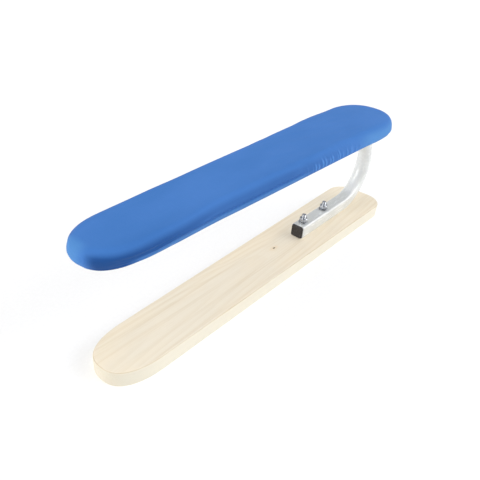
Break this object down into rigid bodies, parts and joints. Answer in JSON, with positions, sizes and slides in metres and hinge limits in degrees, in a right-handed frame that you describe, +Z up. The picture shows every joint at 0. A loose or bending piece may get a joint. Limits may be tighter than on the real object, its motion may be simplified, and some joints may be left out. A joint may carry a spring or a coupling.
{
  "type": "sleeve ironing board",
  "caption": "Table-top sleeve ironing board: a tapered wooden base, a C-shaped steel tube arm bolted to it, and a narrow foam-padded board in a fitted blue cloth cover.",
  "frame": {"origin": "middle of the object's footprint, on the underside of the base board", "axes": "+X along the boards towards the end that holds the arm, +Z up; Y = 0 is the arm's middle plane"},
  "size_m": [0.512, 0.0884, 0.1591],
  "materials": {
    "pale_pine": "sanded, unvarnished",
    "plywood_core": "sanded plywood",
    "foam": "open-cell foam",
    "blue_cotton": "smooth cotton",
    "white_elastic": "woven elastic",
    "grey_paint": "satin light grey powder coat",
    "black_plastic": "moulded",
    "zinc_plate": "bright zinc plate"
  },
  "bodies": {
    "root": {"base_board": "pale_pine", "arm_tube": "grey_paint", "lower_end_plug": "black_plastic", "upper_end_plug": "black_plastic", "top_board": "plywood_core", "foam_pad": "foam", "fabric_cover": "blue_cotton", "hem_elastic": "white_elastic", "base_bolt_front": "zinc_plate", "base_bolt_rear": "zinc_plate", "base_washer_front": "zinc_plate", "base_washer_rear": "zinc_plate", "base_nut_front": "zinc_plate", "base_nut_rear": "zinc_plate", "top_bolt_front": "zinc_plate", "top_bolt_rear": "zinc_plate", "top_washer_front": "zinc_plate", "top_washer_rear": "zinc_plate", "top_nut_front": "zinc_plate", "top_nut_rear": "zinc_plate"}
  },
  "joints": []
}
